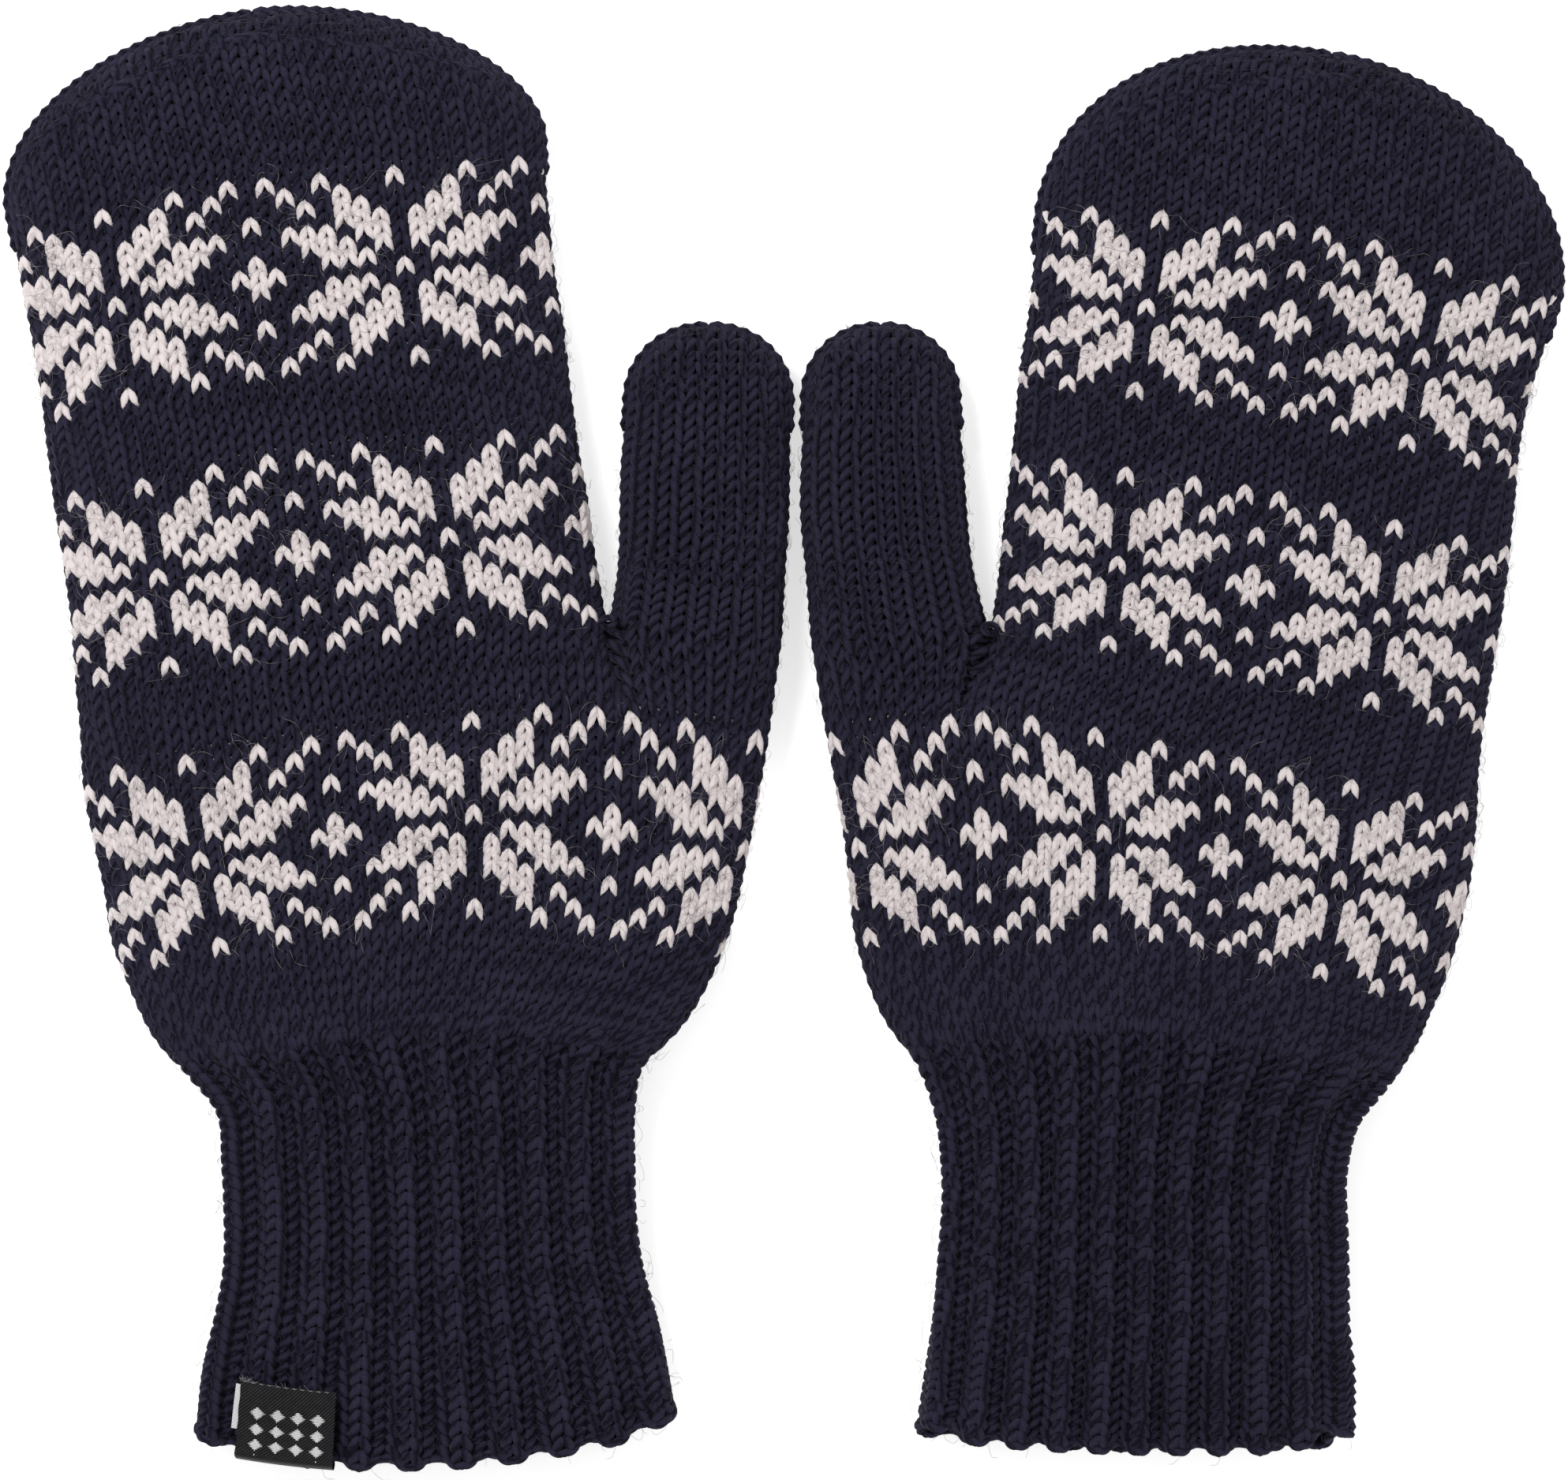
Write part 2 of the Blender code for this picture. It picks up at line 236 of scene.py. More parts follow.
# Outline stations: row, outer edge x and y, inner edge x and y, thickness, bow, where the bow's peak
# is from the outer to the inner edge, and the stitch at the outer edge. In millimetres.
# rib_turn: how far the rib is turned round, in columns. gather: rows, and how far the stitches are
# drawn towards the edges there. tip: its height, and how square its outer and inner corners are.
# top: the row where the hand's knitting ends.
LEFT = {
    "body": (
        (-33, -110.8, -129.7, -17.2, -126.0, 17.0, -6.1, 0.50, 0.0),
        (-25.4, -108.2, -111.8, -20.5, -108.2, 17.0, -6.1, 0.50, 0.0),
        (-17.9, -104.7, -95.2, -24.7, -93.7, 17.0, -2.9, 0.50, 0.0),
        (-10.3, -104.6, -77.8, -26.0, -77.5, 17.0, -0.3, 0.50, 0.0),
        (-5, -106.3, -66.5, -25.9, -65.9, 17.0, 2.1, 0.55, 0.0),
        (-2, -111.3, -60.5, -24.4, -58.9, 17.2, 4.1, 0.57, 0.0),
        (1, -116.3, -54.5, -18.2, -51.7, 17.5, 6.5, 0.59, 0.0),
        (6, -122.0, -42.2, -11.0, -38.6, 17.9, 8.9, 0.55, 0.06),
        (13.5, -126.1, -25.0, -6.0, -19.5, 18.0, 8.9, 0.58, 0.48),
        (20, -129.7, -8.3, -2.7, -1.3, 18.0, 7.8, 0.67, 0.66),
        (27, -130.9, 10.5, 0.4, 19.1, 18.0, 6.1, 0.80, 0.6),
    ),
    "hand": (
        (27, -130.9, 10.5, -32.4, 23.0, 18.0, 1.0, 0.5, 0.6),
        (34.5, -132.1, 27.4, -35.2, 40.7, 18.0, 1.7, 0.48, 0.84),
        (45, -135.8, 52.0, -38.5, 65.6, 18.0, 2.3, 0.42, 1.0),
        (55.5, -139.1, 76.1, -41.9, 90.0, 18.0, 3.3, 0.38, 1.1),
        (65, -143.1, 98.0, -44.0, 112.6, 17.0, 3.3, 0.38, 1.1),
    ),
    "thumb": (
        (0, -32.4, 22.9, 0.4, 19.1, 18.0, 0.0, 0.5, 0.6),
        (5.5, -31.1, 33.4, 1.0, 31.6, 16.5, 0.0, 0.5, 0.6),
        (11, -30.6, 46.1, 1.6, 45.4, 16.0, 0.0, 0.5, 0.6),
        (18, -29.4, 62.9, 1.6, 62.9, 15.0, 0.0, 0.5, 0.6),
    ),
    "rib_turn": 0.5,
    "gather": ((-33, 0.02), (13.5, 0.045), (27, 0.0), (34.5, 0.092), (55.5, 0.08)),
    "tip": (30.1, 1.95, 1.75),
    "thumb_tip": (14.6, 2.1, 2.1),
    "top": 76.4,
}
RIGHT = {
    "body": (
        (-33, -105.4, -130.2, -22.1, -128.3, 17.0, -1.8, 0.50, 0.0),
        (-25.4, -104.5, -112.4, -24.6, -111.2, 17.0, -2.6, 0.50, 0.0),
        (-17.9, -103.9, -95.7, -26.3, -95.1, 17.0, -1.8, 0.50, 0.0),
        (-10.3, -103.3, -78.3, -27.4, -77.7, 17.0, 0.0, 0.50, 0.0),
        (-5, -106.6, -68.0, -25.8, -66.1, 17.0, 2.1, 0.55, 0.0),
        (-2, -111.4, -62.5, -22.7, -58.2, 17.2, 4.4, 0.54, 0.0),
        (1, -115.9, -57.0, -17.8, -50.2, 17.5, 6.6, 0.50, 0.0),
        (6, -119.7, -49.0, -13.0, -36.9, 17.9, 7.2, 0.46, -0.12),
        (13.5, -126.0, -29.7, -10.8, -19.3, 18.0, 7.4, 0.65, -0.34),
        (27, -129.1, 2.0, -4.1, 19.1, 18.0, 7.3, 0.79, -0.5),
    ),
    "hand": (
        (27, -129.1, 2.0, -37.8, 21.8, 18.0, 0.5, 0.5, -0.5),
        (34.5, -131.6, 18.2, -39.7, 36.4, 18.0, 1.6, 0.5, -0.62),
        (45, -134.7, 42.3, -41.8, 59.9, 18.0, 2.6, 0.5, -0.55),
        (55.5, -137.7, 64.8, -44.6, 81.8, 18.0, 4.3, 0.5, -0.45),
        (62.5, -142.9, 81.8, -46.3, 97.6, 17.0, 4.3, 0.5, -0.45),
    ),
    "thumb": (
        (0, -37.8, 21.8, -4.1, 19.1, 18.0, 0.0, 0.5, -0.5),
        (5.5, -35.2, 33.4, -3.2, 32.0, 16.5, 0.0, 0.5, -0.5),
        (11, -33.9, 46.1, -2.4, 45.4, 16.0, 0.0, 0.5, -0.5),
        (18, -32.3, 63.3, -3.3, 63.3, 15.0, 0.0, 0.5, -0.5),
    ),
    "rib_turn": -0.85,
    "gather": ((-33, -0.12), (-3, -0.065), (13.5, -0.075), (27, 0.0), (34.5, 0.038), (55.5, 0.07)),
    "tip": (38.1, 1.93, 2.15),
    "thumb_tip": (14.2, 2.1, 2.1),
    "top": 77.2,
}


def smooth_through(knots, values, at):
    """Values at these places, on a smooth curve through the values at the knots."""
    knots, values, at = (np.asarray(a, float) for a in (knots, values, at))
    slopes = np.gradient(values, knots, axis=0)
    low = np.clip(np.searchsorted(knots, at, side="right") - 1, 0, len(knots) - 2)
    span = (knots[low + 1] - knots[low])[:, None]
    t = (at - knots[low])[:, None] / span
    rise = t * t * (3 - 2 * t)
    start = t * (1 - t) ** 2 * span * slopes[low]
    end = t * t * (t - 1) * span * slopes[low + 1]
    return values[low] * (1 - rise) + values[low + 1] * rise + start + end


def smoothstep(value):
    value = np.clip(value, 0, 1)
    return value * value * (3 - 2 * value)


class Ripple:
    """Smooth random unevenness over a tube, from -1 to 1, that joins up round it."""

    ROWS = 256

    def __init__(self, seed, around, size):
        self.around = around
        self.cells = max(1, round(around / size))
        self.size = size
        self.table = np.random.default_rng(seed).uniform(-1, 1, (self.ROWS, self.cells))

    def __call__(self, stitch, row):
        x = stitch / self.around * self.cells
        y = row / self.size + self.ROWS / 4
        i, j = np.floor(x).astype(int), np.floor(y).astype(int)
        fx, fy = smoothstep(x - i), smoothstep(y - j)
        i, j = i % self.cells, j % self.ROWS
        after, above = (i + 1) % self.cells, (j + 1) % self.ROWS
        low = self.table[j, i] * (1 - fx) + self.table[j, after] * fx
        high = self.table[above, i] * (1 - fx) + self.table[above, after] * fx
        return low * (1 - fy) + high * fy


def tent(share, peak):
    """How far a row's places lie ahead of its ends: 0 at the ends, and 1 at a rounded peak."""
    t = np.where(share < peak, share / peak, (1 - share) / (1 - peak))
    most = math.sqrt(1 + PEAK_SOFTNESS**2)
    return (most - np.sqrt((1 - t) ** 2 + PEAK_SOFTNESS**2)) / (most - PEAK_SOFTNESS)


def ring(edges, thickness, bow, peak, roundness=0.0, halves=(1, 1), rise=1.0, skins=(SKIN, SKIN)):
    """COLUMNS points round a flattened tube, evenly spaced over its front and its back; its girth."""
    outer, inner = edges
    angle = np.linspace(0, TAU, 2 * HALF_ROUND + 1)
    c, s = np.cos(angle), np.sin(angle)
    x = -np.sign(c) * np.abs(c) ** (2 / SQUARENESS)
    z = np.sign(s) * np.abs(s) ** (2 / SQUARENESS) * np.where(s < 0, FLATTENED, 1)
    width = np.linalg.norm(inner - outer)
    x = x * (width / 2 - skins[0]) * np.where(x < 0, *halves)
    z = np.maximum(z, -1) * (thickness / 2 - skins[1]) * rise
    run = np.r_[0, np.cumsum(np.hypot(np.diff(x), np.diff(z)))]
    half = run[HALF_ROUND]
    share = np.where(angle <= math.pi, run / half / 2, 0.5 + (run - half) / (run[-1] - half) / 2)
    at = np.arange(COLUMNS) / COLUMNS
    x, z = np.interp(at, share, x), np.interp(at, share, z)
    front = np.where(at <= 0.5, 2 * at, 2 - 2 * at)
    across = (inner - outer) / width
    ahead = np.array((-across[1], across[0]))
    profile = tent(front, peak) * (1 - roundness) + (1 - (2 * front - 1) ** 2) * roundness
    flat = (outer + inner) / 2 + np.outer(x, across) + np.outer(bow * profile, ahead)
    return np.column_stack([flat, z + thickness / 2]), run[-1]


class Tube:
    """A knitted tube: where each place of its fabric lies, and which way is out."""

    STEP = 0.25

    def __init__(self, stations, stitches, tip=None, top=None, gather=((0, 0.0),), seed=1):
        table = np.array(stations, float)
        self.stitches = stitches
        self.base = table[-1, 0]
        self.top = top if top else table[-1, 0] + SPARE_ROWS
        self.low = table[0, 0] - SPARE_ROWS
        self.rows = np.arange(self.low, self.top + 0.01, self.STEP)
        inside = np.clip(self.rows, table[0, 0], self.base)
        at = smooth_through(table[:, 0], table[:, 1:], inside)
        ends = [table[0, 0], table[0, 0] + 1, self.base - 1, self.base]
        ends = smooth_through(table[:, 0], table[:, 1:], ends)
        beyond = self.rows - inside
        slope = np.where(beyond[:, None] < 0, ends[1] - ends[0], ends[3] - ends[2])
        drift = slope * beyond[:, None]
        drift[:, 4:] = 0
        if tip:
            drift[self.rows > self.base] = 0
        at = at + drift
        sections = [self.section(row, values, tip) for row, values in zip(self.rows, at)]
        self.points = np.array([points for points, _ in sections])
        girths = np.array([girth for _, girth in sections])
        self.turn = at[:, 7]
        knots = np.array(gather, float)
        self.gather = np.interp(self.rows, knots[:, 0], knots[:, 1])
        base = min(np.searchsorted(self.rows, self.base), len(girths) - 1)
        self.shrink = np.where(self.rows > self.base, girths / girths[base], 1.0)
        self.uneven = Ripple(seed, 1.0, BULGE_SHARE)
        self.tip = tip
        self.at_base = at[base]
        self.lay()

    def section(self, row, values, tip):
        """The ring of points at a row, and its girth."""
        outer, inner = values[0:2], values[2:4]
        thickness, bow, peak = values[4:7]
        beyond = row - self.base
        if beyond <= 0 or not tip:
            ribbed = RIB_RISE * smoothstep(-row / RIB_SKIN_ROWS) * (self.stitches == BODY_STITCHES)
            skins = (SKIN + RIB_SIDE * ribbed, SKIN + ribbed)
            roundness = smoothstep(-row / RIB_ROUND_ROWS)
            return ring((outer, inner), thickness, bow, peak, roundness, skins=skins)
        height, *powers = tip
        share = min(beyond / (self.top - self.base), TIP_END)
        halves = [(1 - share**power) ** (1 / power) for power in powers]
        rise = max((1 - share**TIP_DOME) ** (1 / TIP_DOME), TIP_FLATTEST)
        across = (inner - outer) / np.linalg.norm(inner - outer)
        shift = np.array((-across[1], across[0])) * share * (height - SKIN)
        edges = (outer + shift, inner + shift)
        return ring(edges, thickness, bow * (1 - share), peak, halves=halves, rise=rise)

    def edge(self, side, rows_below):
        """The tip's outer or inner edge at half thickness, from below its base up to its top."""
        rows = np.linspace(self.base - rows_below, self.base, 30)[:-1]
        low, _ = self.at_share(np.full(len(rows), side / 2), rows, np.zeros(len(rows)))
        outer, inner = self.at_base[0:2], self.at_base[2:4]
        width = np.linalg.norm(inner - outer)
        across = (inner - outer) / width
        share = np.sin(np.linspace(0, math.pi / 2, 120))[:, None]
        power = self.tip[1 + side]
        half = (1 - share**power) ** (1 / power) * (width / 2 - SKIN) * (1 if side else -1)
        flat = (outer + inner) / 2 + across * half
        flat = flat + np.array((-across[1], across[0])) * share * (self.tip[0] - SKIN)
        return np.r_[low, np.column_stack([flat, np.full(len(flat), self.at_base[4] / 2)])]

    def lay(self):
        """Works out the outward directions, and adds the fabric's unevenness."""
        for passes in range(2):
            wrapped = np.concatenate([self.points[:, -1:], self.points, self.points[:, :1]], axis=1)
            round_it = wrapped[:, 2:] - wrapped[:, :-2]
            along = np.gradient(self.points, axis=0)
            out = np.cross(round_it, along)
            self.out = out / np.maximum(np.linalg.norm(out, axis=2, keepdims=True), 1e-9)
            if passes:
                break
            share = np.arange(COLUMNS)[None, :] / COLUMNS
            lift = self.uneven(share + 0 * self.rows[:, None], self.rows[:, None] * BULGE_ROWS)
            self.points = self.points + self.out * (lift * BULGE)[:, :, None]

    def look(self, table, row):
        """A table's values at these rows of the grid."""
        at = np.clip((row - self.low) / self.STEP, 0, len(self.rows) - 1.001)
        low = at.astype(int)
        part = at - low
        return table[low] * (1 - part) + table[low + 1] * part

    def turned(self, stitch, row):
        """Evenly counted shares of the way round."""
        return (stitch - self.look(self.turn, row)) / self.stitches

    def gathered(self, share, row):
        """Evenly counted shares, moved to where the knitting is drawn in or stretched."""
        return share - self.look(self.gather, row) / TAU * np.cos(TAU * share)

    def share(self, stitch, row):
        """How far round the tube a stitch lies, from 0 at the outer edge to 0.5 at the inner one."""
        x = self.gathered(self.turned(stitch, row), row)
        middle = np.where(x % 1 < 0.5, 0.25, 0.75) + np.floor(x)
        return middle + (x - middle) / self.look(self.shrink, row)

    def at_share(self, share, row, lift):
        """Places this far round and up the tube and this far out of it, and which way is out."""
        x = (share % 1) * COLUMNS
        y = np.clip((row - self.low) / self.STEP, 0, len(self.rows) - 1.001)
        i, j = np.floor(x).astype(int), y.astype(int)
        fx, fy = (x - i)[..., None], (y - j)[..., None]
        i, after = i % COLUMNS, (i + 1) % COLUMNS

        def mix(grid):
            low = grid[j, i] * (1 - fx) + grid[j, after] * fx
            high = grid[j + 1, i] * (1 - fx) + grid[j + 1, after] * fx
            return low * (1 - fy) + high * fy

        out = mix(self.out)
        out = out / np.maximum(np.linalg.norm(out, axis=-1, keepdims=True), 1e-9)
        return mix(self.points) + out * lift[..., None], out


def body_tube(outline, hand):
    """The tube below the thumb, which divides into the hand's and the thumb's lobes at its top."""
    tube = Tube(outline["body"], BODY_STITCHES, gather=outline["gather"][:-2], seed=hand.stitches)
    tube.rib_turn = outline["rib_turn"]
    place = np.arange(COLUMNS) / COLUMNS
    over = place <= 0.5
    front = np.where(over, place, 1 - place) * BODY_STITCHES
    hand_front = HAND_STITCHES / 2
    share = np.where(over, front / HAND_STITCHES, 1 - front / HAND_STITCHES)
    split = np.full(COLUMNS, float(SPLIT))
    lobed, _ = hand.at_share(hand.gathered(share, split), split, np.zeros(COLUMNS))
    thumb_top = THUMB_TOP - SPARE_ROWS
    thumb = Tube(outline["thumb"], THUMB_STITCHES, outline["thumb_tip"], thumb_top, seed=5)
    thumb_front = (1 + front - hand_front) / (THUMB_FRONT + 1) / 2
    thumb_share = np.where(over, thumb_front, 1 - thumb_front)
    root, _ = thumb.at_share(thumb_share, np.zeros(COLUMNS), np.zeros(COLUMNS))
    lobed = np.where((front <= hand_front)[:, None], lobed, root)
    at_split = np.searchsorted(tube.rows, SPLIT)
    change = lobed - tube.points[at_split]
    share = smoothstep((tube.rows - SPLIT + LOBE_ROWS) / LOBE_ROWS)
    tube.points = tube.points + share[:, None, None] * change[None]
    tube.uneven = lambda x, y: 0 * x
    tube.lay()
    return tube, thumb


def in_star(stitch, row):
    """Whether the pale yarn is on the face there, in rows from a band's centre."""
    column = (np.asarray(stitch) - STAR_CENTRE + STAR_REPEAT // 2) % STAR_REPEAT - STAR_REPEAT // 2
    return np.array([(abs(int(c)), abs(row)) in STAR for c in column])


def loops(rows, count, face, reach=LOOP_REACH, swell=LOOP_SWELL):
    """Each course's yarn as stitches, rows and millimetres of lift; where face is false, it floats."""
    t = np.linspace(-math.pi, math.pi, SEGMENTS, endpoint=False)
    row = np.asarray(rows, float)[:, None, None]
    stitch = np.arange(count)[None, :, None]
    on = np.asarray(face, float)[:, :, None]
    across = stitch + 0.5 + t / TAU + on * LOOP_LEAN * np.sin(2 * t)
    along = row + 0.5 - reach * (on * np.cos(t) - (1 - on))
    deep = LOOP_DEPTH + FLOAT_DROP * np.cos(t / 2) ** 2
    lift = -on * LOOP_DEPTH * np.cos(2 * t) - (1 - on) * deep
    girth = 1 - swell * np.cos(2 * t) * on - FLOAT_SLIM * (1 - on)
    shape = (len(rows), count * SEGMENTS)
    return [part.reshape(shape) for part in (across, along, lift, girth)]


def uneven(tube, across, along, seed):
    """Moves the places a little, as hand knitting is never quite even."""
    sideways, upwards, slowly = (
        Ripple(seed + i, tube.stitches, size) for i, size in enumerate(WANDER_SIZES)
    )
    across = across + WANDER_ACROSS * sideways(across, along)
    along = along + WANDER_ALONG * upwards(across, along) + WANDER_SLOWLY * slowly(across, along)
    return across, along


def pressed(lift, share):
    """Flattens the loops along a tube's folded edges, where the fabric is stretched round."""
    return lift * (1 - PRESSED * np.abs(np.cos(TAU * share)) ** PRESSED_SHARPNESS)


def knit(tube, rows, face=None, seed=0, reach=LOOP_REACH):
    """Closed paths of yarn for these courses of a tube."""
    count = tube.stitches
    if face is None:
        face = np.ones((len(rows), count), bool)
    across, along, lift, girth = loops(rows, count, face, reach)
    across, along = uneven(tube, across, along, WANDER_SEED + seed)
    share = tube.share(across, along)
    lift = pressed(lift, share)
    if tube.stitches == BODY_STITCHES:
        lift = lift + rib_wave(tube, tube.turned(across, along), along)
    if tube.tip is None or max(rows) + SPARE_ROWS < tube.base:
        points, out = tube.at_share(share, along, lift)
        return list(zip(points, out, girth))
    paths = []
    half = (across - tube.look(tube.turn, along)) / count % 1 < 0.5
    inside = np.where(half, (share % 1 > 0) & (share < 0.5), (share > 0.5) & (share < 1))
    inside &= along < tube.top
    for row in range(len(rows)):
        kept = inside[row]
        if kept.sum() > 3:
            points, out = tube.at_share(share[row][kept], along[row][kept], lift[row][kept])
            paths.append((points, out, girth[row][kept]))
    return paths


def rib_phase(tube, share):
    """The knit column's part of the rib: 1 in its middle, and -1 in the middle of a purl column."""
    return np.cos(math.pi * (share * RIB_COLUMNS - 0.5 - tube.rib_turn))


def rib_wave(tube, share, row):
    """How far the rib's knit columns rise, and its purl columns sink, in millimetres."""
    wave = rib_phase(tube, share)
    wave = np.sign(wave) * np.abs(wave) ** RIB_SQUARENESS
    end, rows = RIB_FADE
    return RIB_RISE * wave * smoothstep((end - row) / rows)


def rib(tube, rows):
    """Closed paths of yarn for the rib: raised knit columns and sunk purl columns in turn."""
    face = np.ones((len(rows), RIB_COLUMNS), bool)
    across, along, lift, girth = loops(rows, RIB_COLUMNS, face, RIB_REACH, RIB_SWELL)
    share = (across + tube.rib_turn) / RIB_COLUMNS
    wave = rib_phase(tube, share)
    lift = pressed(lift / LOOP_DEPTH * (RIB_DEPTH[0] + RIB_DEPTH[1] * wave), share)
    lift = lift + rib_wave(tube, share, along)
    along = along - hem_wave(tube, share, along)
    girth = girth * (RIB_GIRTH[0] + RIB_GIRTH[1] * wave)
    share = share - RIB_WARP / RIB_COLUMNS * np.sin(math.pi * (across - 0.5))
    along = along + WANDER_SLOWLY * Ripple(91, RIB_COLUMNS, RIB_UNEVENNESS)(across, along)
    points, out = tube.at_share(tube.gathered(share, along), along, lift)
    return list(zip(points, out, girth))


def hem_wave(tube, share, row):
    """How many rows the knit columns reach past the purl columns at the hem, whose ends curve up."""
    wave = rib_phase(tube, share)
    wave = HEM_REACH * np.sign(wave) * np.abs(wave) ** HEM_SQUARENESS
    corner = HEM_CORNER * np.abs(np.cos(TAU * share)) ** HEM_CORNER_SHARPNESS
    wave = wave * smoothstep((HEM + HEM_ROWS - row) / HEM_ROWS)
    return wave - corner * smoothstep((HEM + HEM_CORNER_ROWS - row) / HEM_CORNER_ROWS)


def hem_yarn(tube):
    """The two strands that twist round each other along the hem."""
    t = np.linspace(0, TAU * RIB_COLUMNS, RIB_COLUMNS * (SEGMENTS + 2), endpoint=False)
    share = (t / TAU + tube.rib_turn) / RIB_COLUMNS
    edge = HEM - HEM_YARN_DROP - hem_wave(tube, share, HEM)
    paths = []
    for turn in (0, math.pi):
        along = edge + HEM_TWIST[0] * np.sin(t + turn)
        lift = rib_wave(tube, share, along) + HEM_TWIST[1] * np.cos(t + turn)
        points, out = tube.at_share(tube.gathered(share, along), along, lift)
        paths.append((points, out, np.ones(len(t))))
    return paths


def rim_yarn(tube, rows_below):
    """The edge columns of stitches that run up both sides of a closed tip and meet at its top."""
    paths = []
    for side in (0, 1):
        edge = tube.edge(side, rows_below)
        run = np.r_[0, np.cumsum(np.linalg.norm(np.diff(edge, axis=0), axis=1))]
        number = round(run[-1] / RIM_PITCH)
        pitch = run[-1] / number
        t = np.linspace(-RIM_TURN * math.pi, RIM_TURN * math.pi, SEGMENTS)
        for stitch in range(number):
            along = np.minimum((stitch + 0.5 - LOOP_REACH * np.cos(t)) * pitch, run[-1] - 0.2)
            at, ahead, behind = (
                np.stack([np.interp(along + step, run, edge[:, axis]) for axis in range(3)], axis=1)
                for step in (0, 0.6, -0.6)
            )
            heading = unit(ahead - behind)
            sideways = np.cross(heading, (0, 0, 1)) * (1 if side else -1)
            up = np.array((0, 0, 1.0))
            out = sideways * math.cos(RIM_TILT) + up * math.sin(RIM_TILT)
            side_on = up * math.cos(RIM_TILT) - sideways * math.sin(RIM_TILT)
            width = (t / TAU + LOOP_LEAN * np.sin(2 * t)) * RIM_WIDTH
            lift = RIM_LIFT[0] - RIM_LIFT[1] * np.cos(2 * t)
            points = at + side_on * width[:, None] + out * lift[:, None] + up * RIM_RAISED
            paths.append((points, out, 1 - LOOP_SWELL * np.cos(2 * t)))
    return paths


def join_yarn(x, y):
    """The strand that draws the fabric together between the thumb and the hand."""
    t = np.linspace(0, 1, JOIN_POINTS)
    turn = 2 * JOIN_TURNS * math.pi * t
    x = x + JOIN_WIDTH * np.sin(turn)
    y = y - JOIN_DROP + JOIN_HEIGHT * np.cos(turn)
    points = np.column_stack([x, y, JOIN_FROM + JOIN_RISE * t])
    out = np.tile((0.0, 1.0, 0.0), (len(t), 1))
    return [(points, out, np.full(len(t), JOIN_GIRTH))]


def unit(vectors):
    return vectors / np.maximum(np.linalg.norm(vectors, axis=-1, keepdims=True), 1e-9)


def yarn_mesh(paths, wide=YARN, thick=YARN, closed=True, sides=SIDES):
    """Corners, faces and yarn coordinates of round yarn along the paths."""
    groups = {}
    for path in paths:
        groups.setdefault(len(path[0]), []).append(path)
    corners, faces, coordinates, used = [], [], [], 0
    angle = np.arange(sides) / sides * TAU - math.pi / 2
    for count, group in groups.items():
        points, out, girth = (np.stack(part) for part in zip(*group))
        number = len(points)
        if closed:
            run = np.roll(points, -1, axis=1) - np.roll(points, 1, axis=1)
        else:
            run = np.gradient(points, axis=1)
            girth = girth * np.r_[YARN_END, np.ones(count - 2), YARN_END]
        side = unit(np.cross(unit(run), out))
        up = np.cross(side, unit(run))
        turned = np.cos(angle)[:, None] * side[:, :, None] * wide
        turned = turned + np.sin(angle)[:, None] * up[:, :, None] * thick
        turned = turned * girth[:, :, None, None]
        corners.append((points[:, :, None] + turned).reshape(-1, 3))
        segments = count if closed else count - 1
        n, i, k = np.ogrid[:number, :segments, :sides]
        start = used + n * count * sides
        after, beside = (i + 1) % count, (k + 1) % sides
        quads = [i * sides + k, i * sides + beside, after * sides + beside, after * sides + k]
        faces.append(np.stack([start + quad for quad in quads], axis=-1).reshape(-1, 4))
        step = np.linalg.norm(np.roll(points, -1, axis=1) - points, axis=2)
        far = np.cumsum(step, axis=1)[:, :segments, None] + 0 * k
        near = far - step[:, :segments, None]
        around = k / sides + 0 * far
        more = around + 1 / sides
        pairs = [(near, around), (near, more), (far, more), (far, around)]
        flat = np.stack([np.stack(pair, axis=-1) for pair in pairs], axis=3)
        coordinates.append(flat.reshape(-1, 2))
        used += number * count * sides
    return np.concatenate(corners), np.concatenate(faces), np.concatenate(coordinates)


def fibres(tube, starts, seed):
    """Loose fibres that curl over the fabric from these stitches and rows."""
    chance = np.random.default_rng(seed)
    number = len(starts)
    length = chance.uniform(*FIBRE_LENGTH, (number, 1)) / (FIBRE_STEPS - 1)
    curl = chance.normal(0, FIBRE_CURL[0], (number, 1))
    curl = curl + chance.normal(0, FIBRE_CURL[1], (number, FIBRE_STEPS))
    heading = chance.uniform(0, TAU, (number, 1)) + np.cumsum(curl, axis=1)
    aside = np.cumsum(np.cos(heading) * length, axis=1) / STITCH_MM
    ahead = np.cumsum(np.sin(heading) * length, axis=1) / ROW_MM
    scatter = (-FIBRE_SCATTER, FIBRE_SCATTER, (number, 1))
    across = starts[:, :1] + chance.uniform(*scatter) + aside
    along = starts[:, 1:] + chance.uniform(*scatter) + ahead
    part = np.linspace(0, 1, FIBRE_STEPS)
    high = chance.uniform(*FIBRE_HEIGHT, (number, 1))
    lift = 1.0 + high * np.sin(part * chance.uniform(*FIBRE_ARCH, (number, 1)))
    along = np.clip(along, tube.low + 1.5, tube.top - 0.5)
    points, out = tube.at_share(tube.share(across, along), along, lift)
    return list(zip(points, out, np.ones((number, FIBRE_STEPS))))


